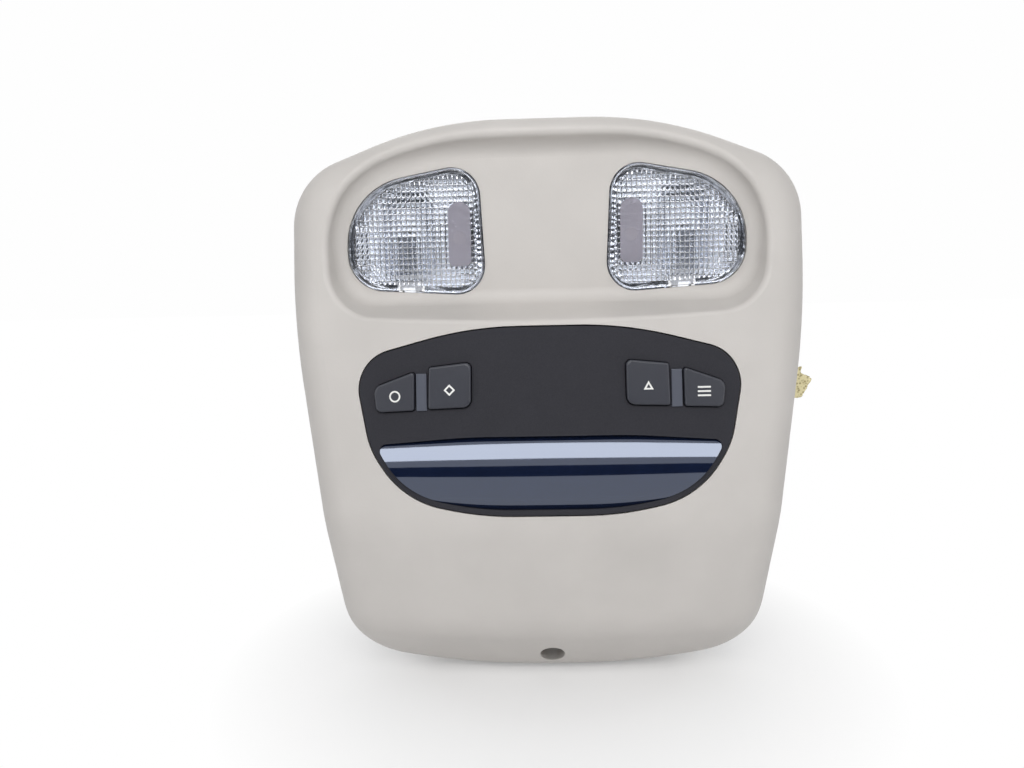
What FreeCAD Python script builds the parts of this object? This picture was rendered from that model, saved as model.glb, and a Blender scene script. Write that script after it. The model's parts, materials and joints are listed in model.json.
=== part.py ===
import FreeCAD, Part
import math
import os
import Sketcher
from FreeCAD import Placement, Rotation, Vector

# Interior light of a car roof console, with a trip display and two reading lamps.
# Every piece is drawn lying on its back: X across, Y up the roof, Z out of the roof.
# Its Placement then stands it up, so that the face looks along -Y of the shared frame.
# The origin is on the axis of the fixing screw, in the plane of the rim.

PARTS_DIR = os.path.join(os.path.dirname(os.path.abspath(__file__)), "parts")

SIZES = {
    # housing
    "wall": 2.5,
    "face_knee_y": 60.0,
    "face_knee_z": 50.0,
    "face_foot_y": 16.0,
    "face_foot_z": 41.0,
    "face_foot_radius": 26.0,
    "face_low_y": -44.0,
    "face_low_z": -19.0,
    "face_top_z": 28.0,
    "face_top_y": 215.0,
    "face_knee_radius": 40.0,
    "crown_radius": 420.0,
    "wall_draft": -5.0,
    "air_depth": 60.0,
    "edge_outer": 16.0,
    "edge_inner": 12.0,
    "scoop_floor": 19.0,
    "scoop_draft": 18.0,
    "scoop_fillet": 6.0,
    "scoop_edge": 2.2,
    # fixing screw
    "screw_bore": 2.6,
    "screw_seat": 3.0,
    "screw_well": 5.0,
    "screw_boss": 7.5,
    # roof clips
    "clip_x": 83.0,
    "clip_y": 127.0,
    "clip_blade": 1.6,
    "clip_width": 12.0,
    "clip_reach": 13.0,
    "clip_sheet": 0.6,
    # lamps
    "lens_gap": 0.6,
    "lens_back": 18.3,
    "lens_front": 20.4,
    "lens_skirt": 14.5,
    "lens_rib": 1.4,
    "lens_edge": 0.7,
    "hinge_x": 70.0,
    "hinge_z": 13.0,
    "hinge_y": 162.5,
    "hinge_span": 10.2,
    "hinge_pin": 1.25,
    "hinge_bore": 1.35,
    "touch_x": 32.6,
    "touch_y": 165.0,
    "touch_depth": 0.5,
    "tray_wall": 1.3,
    "tray_floor": 8.0,
    "tray_sheet": 1.5,
    "pan_floor": 2.0,
    "pan_draft": 28.0,
    "bulb_x": 53.0,
    "bulb_z": 9.0,
    "bulb_radius": 4.4,
    "neck_end": 136.6,
    "neck_radius": 7.0,
    "neck_bore": 5.3,
    "stake_radius": 1.5,
    "stake_head": 2.7,
    "stake_length": 4.2,
    "ear_sheet": 2.5,
    "switch_length": 12.0,
    "switch_width": 8.0,
    "switch_depth": 6.6,
    "plunger_radius": 1.8,
    "plunger_tip": 13.4,
    # trip display
    "module_y": 98.5,
    "module_z": 44.54,
    "module_tilt": 8.08,
    "module_gap": 0.5,
    "module_skirt": 14.0,
    "module_sheet": 2.4,
    "window_gap": 0.15,
    "window_back": 9.0,
    "window_low_y": -24.0,
    "window_high_y": -13.0,
    "window_proud": 1.6,
    "button_gap": 0.3,
    "button_proud": 1.8,
    "button_back": 10.0,
    "button_lip": 1.0,
    "button_edge": 0.9,
    "board_front": 16.4,
    "board_sheet": 1.6,
    "cover_back": 26.0,
    "cover_sheet": 1.5,
    "boss_radius": 4.2,
    "boss_bore": 1.35,
    "boss_end": 22.0,
    "thread_radius": 1.3,
    "head_radius": 3.0,
    "head_depth": 2.0,
}

# Corner points of each outline as x, y and corner radius, the right-hand half going up.
OUTLINES = {
    "rim": ((35, -11.2, 250), (82, -1.6, 30), (99.8, 132, 300), (98.5, 189.5, 28), (42, 210, 150)),
    "scoop": ((77, 141, 14), (82, 186, 31), (40, 198.6, 110)),
    "lens": ((22.6, 142.8, 11), (75.8, 146.2, 14), (75.6, 184, 26), (24.8, 193.4, 11)),
    "pan": ((44.5, 151.5, 5), (61, 152.5, 5), (60.5, 180, 8), (44.5, 183, 5)),
    "touch": ((28.2, 153.5, 4), (37, 153.5, 4), (37, 176.5, 4), (28.2, 176.5, 4)),
    "module": ((25, -34.6, 120), (54, -28.8, 35), (66.5, -9.6, 30), (72.5, 23.2, 15), (28, 34.4, 140)),
    "window": ((25, -32.2, 118), (52.2, -26.9, 32), (64.4, -8.2, 2.5), (30, -5.6, 200)),
    "outer_button": ((48.9, 4.3, 1), (63.2, 3.8, 2.4), (64.2, 13.1, 3.6), (48.6, 18.6, 1)),
    "inner_button": ((28, 5.2, 3.2), (43.8, 4.7, 1), (43.4, 20, 1), (27.8, 21.6, 2)),
    "board": ((44, -27, 4), (60, -8, 6), (64, 18, 6), (40, 26, 20)),
    "foam": ((91, 98, 1), (105.4, 98.6, 2.2), (108.4, 106.6, 2), (104, 111.4, 2), (91, 110, 1)),
}

# Screws of the display: x and y in the plane of its face.
BOSS_SPOTS = ((78.0, 10.0), (67.0, -27.0))
# Heat stakes of the reflectors: x and y.
STAKE_SPOTS = ((81.0, 163.0), (17.0, 168.0))

doc = FreeCAD.newDocument("interior_light")
sheet = doc.addObject("Spreadsheet::Sheet", "size")


class Size:
    """A number together with the sheet expression that gives it."""

    def __init__(self, value, text):
        self.value = float(value)
        self.text = text

    def join(self, other, sign, value):
        return Size(value, f"({self.text} {sign} {as_size(other).text})")

    def __add__(self, other):
        return self.join(other, "+", self.value + as_size(other).value)

    def __sub__(self, other):
        return self.join(other, "-", self.value - as_size(other).value)

    def __mul__(self, other):
        return self.join(other, "*", self.value * as_size(other).value)

    def __truediv__(self, other):
        return self.join(other, "/", self.value / as_size(other).value)

    def __neg__(self):
        return self * -1


def as_size(value):
    if isinstance(value, Size):
        return value
    return Size(value, f"({value:g})")


def enter(row, alias, value):
    """One row of the sheet: a number with its alias and the alias as a note."""
    sheet.set(f"A{row}", alias)
    sheet.set(f"B{row}", f"{value:g}")
    sheet.setAlias(f"B{row}", alias)


class Sheet:
    """The sheet's numbers as sizes, by alias."""


def fill_sheet():
    numbers = dict(SIZES)
    for name, corners in OUTLINES.items():
        for count, corner in enumerate(corners):
            for part, value in zip(("x", "y", "radius"), corner):
                numbers[f"{name}_{part}_{'abcde'[count]}"] = value
    for row, (alias, value) in enumerate(numbers.items(), 1):
        enter(row, alias, value)
        setattr(Sheet, alias, Size(value, f"size.{alias}"))


fill_sheet()
doc.recompute()
S = Sheet

FLAT = Rotation()
SIDE = Rotation(Vector(0, 1, 0), Vector(0, 0, 1), Vector(1, 0, 0), "XYZ")
ALONG = {
    "x": Rotation(Vector(0, 1, 0), 90),
    "y": Rotation(Vector(1, 0, 0), -90),
    "z": Rotation(),
}
UPRIGHT = Rotation(Vector(1, 0, 0), 90)


def bind(item, prop, size):
    """Give a property its size and bind it to the sheet."""
    size = as_size(size)
    if "." not in prop and "[" not in prop:
        setattr(item, prop, size.value)
    item.setExpression(prop, size.text)


def place(item, x=0, y=0, z=0, turn=FLAT):
    """Put an item at a point of the drawing frame."""
    spot = [as_size(v) for v in (x, y, z)]
    item.Placement = Placement(Vector(*[v.value for v in spot]), turn)
    for axis, v in zip("xyz", spot):
        item.setExpression(f"Placement.Base.{axis}", v.text)


def corners_of(name, side=1):
    """The named outline's corners as sizes, mirrored for the left side."""
    corners = []
    for count in range(len(OUTLINES[name])):
        x, y, r = (getattr(S, f"{name}_{part}_{'abcde'[count]}") for part in ("x", "y", "radius"))
        corners.append((x * side, y, r))
    return corners if side > 0 else corners[::-1]


def both_halves(name):
    """The named right-hand half and its mirror image as one closed outline."""
    return corners_of(name) + corners_of(name, -1)


def moved_corners(points, by):
    """The corners of a closed outline with every side moved outwards by a distance."""
    moved = []
    for i, point in enumerate(points):
        way_in = (point - points[i - 1]).normalize()
        way_out = (points[(i + 1) % len(points)] - point).normalize()
        turn = math.atan2(way_in.x * way_out.y - way_in.y * way_out.x, way_in.dot(way_out))
        out = Vector(way_in.y, -way_in.x, 0)
        moved.append(point + out * by + way_in * (by * math.tan(turn / 2)))
    return moved


def draw_loop(sketch, corners, by=0):
    """Draw a closed outline of lines and tangent arcs, fully constrained.

    With a distance the outline runs beside the given one, outwards where it is positive.
    """
    count = len(corners)
    shift = as_size(by).value
    given = [Vector(as_size(x).value, as_size(y).value, 0) for x, y, r in corners]
    points = moved_corners(given, shift)
    starts, ends, arcs, radii = [], [], [], []
    for i, (x, y, r) in enumerate(corners):
        way_in = (points[i] - points[i - 1]).normalize()
        way_out = (points[(i + 1) % count] - points[i]).normalize()
        turn = math.atan2(way_in.x * way_out.y - way_in.y * way_out.x, way_in.dot(way_out))
        left = turn > 0
        sharp = not as_size(r).value
        size = r if sharp or not shift else as_size(r) + by if left else as_size(r) - by
        radius = as_size(size).value
        reach = radius * math.tan(abs(turn) / 2)
        start, end = points[i] - way_in * reach, points[i] + way_out * reach
        starts.append(start)
        ends.append(end)
        radii.append(size)
        if sharp:
            arcs.append(None)
            continue
        centre = start + Vector(-way_in.y, way_in.x, 0) * (radius if left else -radius)
        first, last = (start, end) if left else (end, start)
        begin, finish = (math.atan2(p.y - centre.y, p.x - centre.x) for p in (first, last))
        if finish < begin:
            finish += 2 * math.pi
        circle = Part.Circle(centre, Vector(0, 0, 1), radius)
        arcs.append((Part.ArcOfCircle(circle, begin, finish), left))
    lines = []
    for i in range(count):
        along = points[(i + 1) % count] - points[i]
        if (starts[(i + 1) % count] - ends[i]).dot(along) < 0:
            raise ValueError(f"{sketch.Name}: the corner arcs {i} and {i + 1} overlap")
        segment = Part.LineSegment(ends[i], starts[(i + 1) % count])
        lines.append(sketch.addGeometry(segment, False))

    def measure(kind, size, *where):
        index = sketch.addConstraint(Sketcher.Constraint(kind, *where, as_size(size).value))
        if isinstance(size, Size):
            sketch.setExpression(f"Constraints[{index}]", size.text)

    guides = []
    if shift:
        for i in range(count):
            segment = Part.LineSegment(given[i], given[(i + 1) % count])
            guides.append(sketch.addGeometry(segment, True))
        for i in range(count):
            sketch.addConstraint(Sketcher.Constraint("Coincident", guides[i - 1], 2, guides[i], 1))
            sketch.addConstraint(Sketcher.Constraint("Parallel", guides[i], lines[i]))
            measure("Distance", as_size(by) * (1 if shift > 0 else -1), lines[i], 1, guides[i])
    for i, (x, y, r) in enumerate(corners):
        before, after = lines[i - 1], lines[i]
        corner = after
        if arcs[i] is None:
            sketch.addConstraint(Sketcher.Constraint("Coincident", before, 2, after, 1))
        else:
            arc = sketch.addGeometry(arcs[i][0], False)
            first, last = (1, 2) if arcs[i][1] else (2, 1)
            sketch.addConstraint(Sketcher.Constraint("Tangent", before, 2, arc, first))
            sketch.addConstraint(Sketcher.Constraint("Tangent", arc, last, after, 1))
            measure("Radius", radii[i], arc)
            if not shift:
                corner = sketch.addGeometry(Part.Point(points[i]), True)
                sketch.addConstraint(Sketcher.Constraint("PointOnObject", corner, 1, before))
                sketch.addConstraint(Sketcher.Constraint("PointOnObject", corner, 1, after))
        if shift:
            corner = guides[i]
        measure("DistanceX", x, -1, 1, corner, 1)
        measure("DistanceY", y, -1, 1, corner, 1)


def sketch_of(name, corners, level=0, by=0, turn=FLAT):
    sketch = doc.addObject("Sketcher::SketchObject", name)
    place(sketch, z=level, turn=turn)
    draw_loop(sketch, corners, by)
    return sketch


def raised(name, base, height, draft=0):
    """The outline pulled out of its plane to a solid."""
    item = doc.addObject("Part::Extrusion", name)
    item.Base = base
    item.DirMode = "Custom"
    item.Dir = Vector(0, 0, 1)
    item.Solid = True
    bind(item, "LengthFwd", height)
    if draft:
        bind(item, "TaperAngle", draft)
    return item


def slab(name, corners, low, high, by=0, draft=0):
    """A solid with the given outline between two levels."""
    base = sketch_of(f"{name}_outline", corners, low, by)
    return raised(name, base, as_size(high) - low, draft)


def box(name, x, y, low, dx, dy, high):
    """A block centred on x and y, between two levels."""
    item = doc.addObject("Part::Box", name)
    bind(item, "Length", dx)
    bind(item, "Width", dy)
    bind(item, "Height", as_size(high) - low)
    place(item, as_size(x) - as_size(dx) / 2, as_size(y) - as_size(dy) / 2, low)
    return item


def rod(name, radius, x, y, z, length, along="z"):
    item = doc.addObject("Part::Cylinder", name)
    bind(item, "Radius", radius)
    bind(item, "Height", length)
    place(item, x, y, z, ALONG[along])
    return item


def joined(name, *items):
    item = doc.addObject("Part::MultiFuse", name)
    item.Shapes = list(items)
    item.Refine = True
    return item


def cut(name, base, *tools):
    item = doc.addObject("Part::Cut", name)
    item.Base = base
    item.Tool = tools[0] if len(tools) == 1 else joined(f"{name}_tools", *tools)
    return item


def common(name, *items):
    item = doc.addObject("Part::MultiCommon", name)
    item.Shapes = list(items)
    return item


def rounded(name, base, picks):
    """Fillet edges, each given as its number and the radius at its two ends."""
    item = doc.addObject("Part::Fillet", name)
    item.Base = base
    item.Edges = picks
    doc.recompute()
    return item


def turned(name, profile, x=0, y=0, z=0, along="z"):
    """A body of revolution. The profile gives radius and distance along the axis."""
    body = doc.addObject("PartDesign::Body", name)
    sketch = body.newObject("Sketcher::SketchObject", f"{name}_profile")
    plane = [f for f in body.Origin.OriginFeatures if f.Role == "XZ_Plane"][0]
    sketch.AttachmentSupport = [(plane, "")]
    sketch.MapMode = "FlatFace"
    draw_loop(sketch, [(r, d, c) for r, d, c in profile])
    doc.recompute()
    spin = body.newObject("PartDesign::Revolution", f"{name}_turned")
    spin.Profile = sketch
    spin.ReferenceAxis = (sketch, ["V_Axis"])
    spin.Angle = 360
    body.Tip = spin
    place(body, x, y, z, ALONG[along])
    return body


def edges_where(item, test):
    """The numbers and end points of the edges that pass a test."""
    doc.recompute()
    return [(i, e) for i, e in enumerate(item.Shape.Edges, 1) if test(e)]


def lies_on(point, shape):
    return Part.Vertex(point).distToShape(shape)[0] < 0.01


def middle(edge):
    return edge.valueAt((edge.FirstParameter + edge.LastParameter) / 2)


pieces = []


def hand_over(name, item):
    """Name a finished piece and stand it up in the shared frame."""
    item.Label = name
    pieces.append(item)
    return item


def stand_up(name, item):
    holder = joined(f"{name}_piece", item) if item.TypeId == "PartDesign::Body" else item
    place(holder, turn=UPRIGHT)
    return hand_over(name, holder)


def stand_on_face(name, item):
    """Pieces of the display are drawn on its own tilted face."""
    turn = Rotation(Vector(1, 0, 0), 90 - S.module_tilt.value)
    item.Placement = Placement(Vector(0, -S.module_z.value, S.module_y.value), turn)
    item.setExpression("Placement.Base.y", (-S.module_z).text)
    item.setExpression("Placement.Base.z", S.module_y.text)
    item.setExpression("Placement.Rotation.Angle", (as_size(90) - S.module_tilt).text)
    return hand_over(name, item)


def lay_on_face(item):
    """Tilt a tool drawn on the display's face into the housing's drawing frame."""
    turn = Rotation(Vector(1, 0, 0), -S.module_tilt.value)
    item.Placement = Placement(Vector(0, S.module_y.value, S.module_z.value), turn)
    item.setExpression("Placement.Base.y", S.module_y.text)
    item.setExpression("Placement.Base.z", S.module_z.text)
    return item


def face_air(name, sink):
    """The space in front of the crowned face, turned about an upright axis behind it."""
    corners = [
        (-60, S.face_knee_z + S.air_depth, 0),
        (-60, S.face_low_z - sink, 0),
        (S.face_low_y, S.face_low_z - sink, 0),
        (S.face_foot_y, S.face_foot_z - sink, S.face_foot_radius - sink),
        (S.face_knee_y, S.face_knee_z - sink, S.face_knee_radius - sink),
        (S.face_top_y, S.face_top_z - sink, 0),
        (270, S.face_top_z - sink, 0),
        (270, S.face_knee_z + S.air_depth, 0),
    ]
    sketch = sketch_of(f"{name}_profile", corners, turn=SIDE)
    item = doc.addObject("Part::Revolution", name)
    item.Source = sketch
    item.Axis = Vector(0, 1, 0)
    item.Base = Vector(0, 0, S.module_z.value - S.crown_radius.value)
    item.Angle = 50
    item.Symmetric = True
    item.Solid = True
    return item


def scoop_tool(name, sink):
    """The lamp recess: flat floor, sloped wall and a round foot."""
    floor = S.scoop_floor - sink
    bowl = slab(f"{name}_form", both_halves("scoop"), floor, 70, sink, S.scoop_draft)
    doc.recompute()
    foot = edges_where(bowl, lambda e: e.BoundBox.ZMax < floor.value + 0.01)
    radius = S.scoop_fillet.value + as_size(sink).value
    return rounded(name, bowl, [(i, radius, radius) for i, e in foot])


def shell_form(name, sink):
    """The housing's outer form, or with a wall thickness its hollow."""
    rim = sketch_of(f"{name}_rim", both_halves("rim"), 0, -as_size(sink))
    block = raised(f"{name}_block", rim, 75, S.wall_draft)
    crowned = cut(f"{name}_crowned", block, face_air(f"{name}_air", as_size(sink)))
    doc.recompute()

    def at_front(edge):
        walls = [f for f in crowned.Shape.ancestorsOfType(edge, Part.Face) if f.BoundBox.ZMin < 0.01]
        return len(walls) == 1 and edge.BoundBox.ZMin > 0.01

    radius = S.edge_inner.value if sink else S.edge_outer.value
    front = edges_where(crowned, at_front)
    return rounded(f"{name}_soft", crowned, [(i, radius, radius) for i, e in front])


def make_housing():
    outer = shell_form("outer", 0)
    recess = scoop_tool("recess", as_size(0))
    scooped = cut("outer_scooped", outer, recess)
    doc.recompute()
    skin, bowl = outer.Shape.Shells[0], recess.Shape.Shells[0]
    brow = edges_where(scooped, lambda e: lies_on(middle(e), skin) and lies_on(middle(e), bowl))
    radius = S.scoop_edge.value
    form = rounded("outer_form", scooped, [(i, radius, radius) for i, e in brow])
    hollow = cut("hollow", shell_form("inner", S.wall), scoop_tool("inner_recess", S.wall))
    shell = cut("shell", form, hollow)

    boss = rod("screw_boss", S.screw_boss, 0, 0, 0, 60)
    posts = [boss]
    blades = []
    for side in (-1, 1):
        word = "left" if side < 0 else "right"
        posts.append(box(f"{word}_tower", S.clip_x * side, S.clip_y, 0, 9, 14, 40))
        blades.append(
            box(f"{word}_blade", S.clip_x * side, S.clip_y, -S.clip_reach, S.clip_blade, S.clip_width - 2, 1)
        )
    bosses = []
    bores = []
    for count, (x, y) in enumerate(BOSS_SPOTS):
        for side in (-1, 1):
            tag = f"{count}_{'left' if side < 0 else 'right'}"
            bosses.append(rod(f"boss_{tag}", S.boss_radius, x * side, y, -S.boss_end, 60))
            bores.append(rod(f"boss_bore_{tag}", S.boss_bore, x * side, y, -S.boss_end - 1, 10))
    posts.append(lay_on_face(joined("module_bosses", *bosses)))
    trimmed = common("posts", joined("all_posts", *posts), form)
    stakes = []
    for count, (x, y) in enumerate(STAKE_SPOTS):
        for side in (-1, 1):
            tag = f"{count}_{'left' if side < 0 else 'right'}"
            top = S.scoop_floor - S.wall
            low = top - S.stake_length
            stakes.append(rod(f"stake_{tag}", S.stake_radius, x * side, y, low, S.stake_length + 1))
            stakes.append(
                rod(f"stake_head_{tag}", S.stake_head, x * side, y, low, S.stake_length - S.ear_sheet)
            )
    solid = joined("housing_solid", shell, trimmed, *blades, *stakes)
    tools = [
        rod("screw_well", S.screw_well, 0, 0, S.screw_seat, 70),
        rod("screw_bore", S.screw_bore, 0, 0, -1, 20),
        lay_on_face(raised("module_opening", sketch_of("opening", both_halves("module"), -30), 60)),
        lay_on_face(joined("module_bores", *bores)),
    ]
    for side in (-1, 1):
        word = "left" if side < 0 else "right"
        tools.append(slab(f"{word}_lens_opening", corners_of("lens", side), 10, 40))
    stand_up("housing", cut("housing_done", solid, *tools))


def word_of(side):
    return "left" if side < 0 else "right"


def grouped(name, *items):
    item = doc.addObject("Part::Compound", name)
    item.Links = list(items)
    return item


def make_lens(side):
    word = word_of(side)
    outline = corners_of("lens", side)
    hinge, touch = S.hinge_x * side, S.touch_x * side
    plate = slab(f"{word}_lens_plate", outline, S.lens_back, S.lens_front, -S.lens_gap)
    front = edges_where(plate, lambda e: e.BoundBox.ZMin > S.lens_front.value - 0.01)
    edge = S.lens_edge.value
    soft = rounded(f"{word}_lens_soft", plate, [(i, edge, edge) for i, e in front])
    skirt = slab(f"{word}_lens_skirt", outline, S.lens_skirt, S.lens_back, -S.lens_gap)
    inside = -(S.lens_gap + S.lens_rib)
    hollow = slab(f"{word}_lens_hollow", outline, S.lens_skirt - 1, S.lens_back + 1, inside)
    parts = [soft, cut(f"{word}_lens_rim", skirt, hollow)]
    for end in (-1, 1):
        tag = f"{word}_{'upper' if end > 0 else 'lower'}"
        middle_y = S.hinge_y + (S.hinge_span / 2 + 1.9) * end
        parts.append(box(f"{tag}_lug", hinge, middle_y, S.hinge_z - 2.2, 4.4, 3, S.lens_back + 0.5))
        start = S.hinge_y + (S.hinge_span / 2 - 0.85) * end - 1.75
        parts.append(rod(f"{tag}_pin", S.hinge_pin, hinge, start, S.hinge_z, 3.5, "y"))
    low = S.plunger_tip + 0.3
    parts.append(rod(f"{word}_touch_post", 2.5, touch, S.touch_y, low, S.lens_back + 0.5 - low))
    dimple_floor = S.lens_front - S.touch_depth
    dimple = slab(f"{word}_dimple", corners_of("touch", side), dimple_floor, S.lens_front + 2)
    stand_up(f"{word}_lens", cut(f"{word}_lens_done", joined(f"{word}_lens_solid", *parts), dimple))


def make_reflector(side):
    word = word_of(side)
    outline = corners_of("lens", side)
    hinge, touch, bulb = S.hinge_x * side, S.touch_x * side, S.bulb_x * side
    seat = S.scoop_floor - S.wall
    tray = cut(
        f"{word}_tray",
        slab(f"{word}_tray_form", outline, S.tray_floor, seat, S.tray_wall + 0.3),
        slab(f"{word}_tray_hollow", outline, S.tray_floor + S.tray_sheet, seat + 5, 0.3),
    )
    pan = slab(f"{word}_pan", corners_of("pan", side), S.pan_floor, S.tray_floor + 0.1, 0, S.pan_draft)
    ear = box(f"{word}_hinge_ear", hinge, S.hinge_y, S.tray_floor + 0.5, 5, S.hinge_span, S.hinge_z + 2.5)
    neck = rod(f"{word}_neck", S.neck_radius, bulb, S.neck_end, S.bulb_z, 8, "y")
    parts = [tray, pan, ear, neck]
    tools = [
        slab(
            f"{word}_pan_hollow",
            corners_of("pan", side),
            S.pan_floor + S.tray_wall,
            S.tray_floor + S.tray_sheet + 0.5,
            -S.tray_wall,
            S.pan_draft,
        ),
        rod(f"{word}_hinge_bore", S.hinge_bore, hinge, S.hinge_y - 10, S.hinge_z, 20, "y"),
        rod(f"{word}_neck_bore", S.neck_bore, bulb, S.neck_end - 1, S.bulb_z, 18, "y"),
        rod(f"{word}_plunger_hole", 3.2, touch, S.touch_y, S.tray_floor - 1, 5),
    ]
    for count, (x, y) in enumerate(STAKE_SPOTS):
        link = (x + (-2.5 if count == 0 else 2.75)) * side
        tag = f"{word}_{count}"
        parts.append(rod(f"{tag}_stake_ear", 3.8, x * side, y, seat - S.ear_sheet, S.ear_sheet))
        parts.append(box(f"{tag}_stake_link", link, y, seat - S.ear_sheet, 5.2, 6, seat))
        tools.append(rod(f"{tag}_stake_hole", S.stake_radius + 0.1, x * side, y, seat - 8, 12))
    solid = joined(f"{word}_reflector_solid", *parts)
    stand_up(f"{word}_reflector", cut(f"{word}_reflector_done", solid, *tools))


def make_bulb(side):
    word = word_of(side)
    bulb = S.bulb_x * side
    glass = turned(
        f"{word}_bulb_glass",
        [(0, 0, 0), (3.4, 0, 0), (S.bulb_radius, 3, 1.5), (S.bulb_radius, 24, 4), (0, 24, 0)],
        bulb, 143.5, S.bulb_z, "y",
    )
    wedge = box(f"{word}_bulb_wedge", bulb, 140.5, S.bulb_z - 1.2, 7.6, 7, S.bulb_z + 1.2)
    stand_up(f"{word}_bulb", joined(f"{word}_bulb_solid", glass, wedge))
    body = turned(
        f"{word}_socket_body",
        [
            (0, 0, 0), (5.6, 0, 0.8), (5.6, 8, 0), (S.neck_radius, 8, 0.5),
            (S.neck_radius, 11.6, 0), (5, 11.6, 0), (5, 15.5, 0.5), (0, 15.5, 0),
        ],
        bulb, S.neck_end - 11.6, S.bulb_z, "y",
    )
    slot = box(f"{word}_socket_slot", bulb, 139.1, S.bulb_z - 1.35, 7.9, 4.2, S.bulb_z + 1.35)
    stand_up(f"{word}_bulb_socket", cut(f"{word}_socket_done", body, slot))


def make_lamp_switch(side):
    word = word_of(side)
    touch = S.touch_x * side
    low = S.tray_floor - S.switch_depth
    case = box(f"{word}_case", touch, S.touch_y, low, S.switch_width, S.switch_length, S.tray_floor)
    bore = rod(f"{word}_case_bore", S.plunger_radius + 0.15, touch, S.touch_y, low + 1.8, 10)
    stand_up(f"{word}_lamp_switch", cut(f"{word}_switch_done", case, bore))
    length = S.plunger_tip - 5
    stem = turned(
        f"{word}_stem",
        [(0, 0, 0), (S.plunger_radius, 0, 0.3), (S.plunger_radius, length, 0.8), (0, length, 0)],
        touch, S.touch_y, 5,
    )
    stand_up(f"{word}_switch_plunger", grouped(f"{word}_plunger_done", stem))


def crown(name, radius):
    """The round of the display's face, as a long upright cylinder behind it."""
    return rod(name, radius, 0, -80, -S.crown_radius, 160, "y")


BUTTONS = {
    "units_button": ("outer_button", -1),
    "reset_button": ("inner_button", -1),
    "step_button": ("inner_button", 1),
    "menu_button": ("outer_button", 1),
}
SWITCH_SPOTS = ((56.0, 11.0), (36.0, 12.5))


def make_panel():
    block = slab("panel_block", both_halves("module"), -S.module_skirt, 4, -S.module_gap)
    inside = -(S.module_gap + S.cover_sheet)
    core = slab("panel_core", both_halves("module"), -S.module_skirt - 1, 4, inside)
    front = common("panel_front", block, crown("panel_crown", S.crown_radius))
    hollow = common("panel_hollow", core, crown("panel_crown_inner", S.crown_radius - S.module_sheet))
    tools = [hollow, slab("window_hole", both_halves("window"), -30, 8)]
    for name, (outline, side) in BUTTONS.items():
        tools.append(slab(f"{name}_hole", corners_of(outline, side), -30, 8, S.button_gap))
    stand_on_face("button_panel", cut("panel_done", front, *tools))


def make_window():
    block = slab("window_block", both_halves("window"), -S.window_back, 8, -S.window_gap)
    corners = [
        (-70, 40, 0),
        (-70, -6, 0),
        (-36, -3.2, 0),
        (S.window_low_y, S.window_proud, 25),
        (S.window_high_y, S.window_proud, 14),
        (-4, -3.5, 0),
        (40, -3.5, 0),
        (40, 40, 0),
    ]
    air = doc.addObject("Part::Revolution", "window_air")
    air.Source = sketch_of("window_profile", corners, turn=SIDE)
    air.Axis = Vector(0, 1, 0)
    air.Base = Vector(0, 0, -S.crown_radius.value)
    air.Angle = 40
    air.Symmetric = True
    air.Solid = True
    stand_on_face("display_window", cut("window_done", block, air))


def make_button(name, outline, side):
    corners = corners_of(outline, side)
    cap = common(
        f"{name}_cap",
        slab(f"{name}_form", corners, -S.button_back, 8),
        crown(f"{name}_crown", S.crown_radius + S.button_proud),
    )
    edge = S.button_edge.value
    front = edges_where(cap, lambda e: e.BoundBox.ZMin > -5)
    soft = rounded(f"{name}_soft", cap, [(i, edge, edge) for i, e in front])
    lip = slab(f"{name}_lip", corners, -S.button_back, -S.button_back + 1.5, S.button_lip)
    stand_on_face(name, joined(f"{name}_done", soft, lip))


def make_electronics():
    back = -S.board_front - S.board_sheet
    board = slab("board_plate", both_halves("board"), back, -S.board_front)
    stand_on_face("circuit_board", grouped("board_done", board))
    tube = box("tube_glass", 0, -17.5, -S.board_front, 92, 18, -S.window_back - 0.2)
    stand_on_face("display_tube", grouped("tube_done", tube))
    switches = []
    for count, (x, y) in enumerate(SWITCH_SPOTS):
        for side in (-1, 1):
            tag = f"tact_{count}_{word_of(side)}"
            base = box(f"{tag}_base", x * side, y, -S.board_front, 6, 6, -12.9)
            switches.append(joined(tag, base, rod(f"{tag}_cap", 1.7, x * side, y, -13.4, 2)))
    stand_on_face("button_switches", grouped("switches_done", *switches))
    plug = box("connector_block", 0, 8, back - 10, 20, 9, back)
    well = box("connector_well", 0, 8, back - 11, 17.4, 6.4, back - 2)
    pins = []
    for count in range(6):
        pins.append(box(f"connector_pin_{count}", -6.25 + 2.5 * count, 8, back - 8, 0.7, 0.7, back - 1))
    stand_on_face("board_connector", joined("connector_done", cut("connector_shell", plug, well), *pins))


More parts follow.
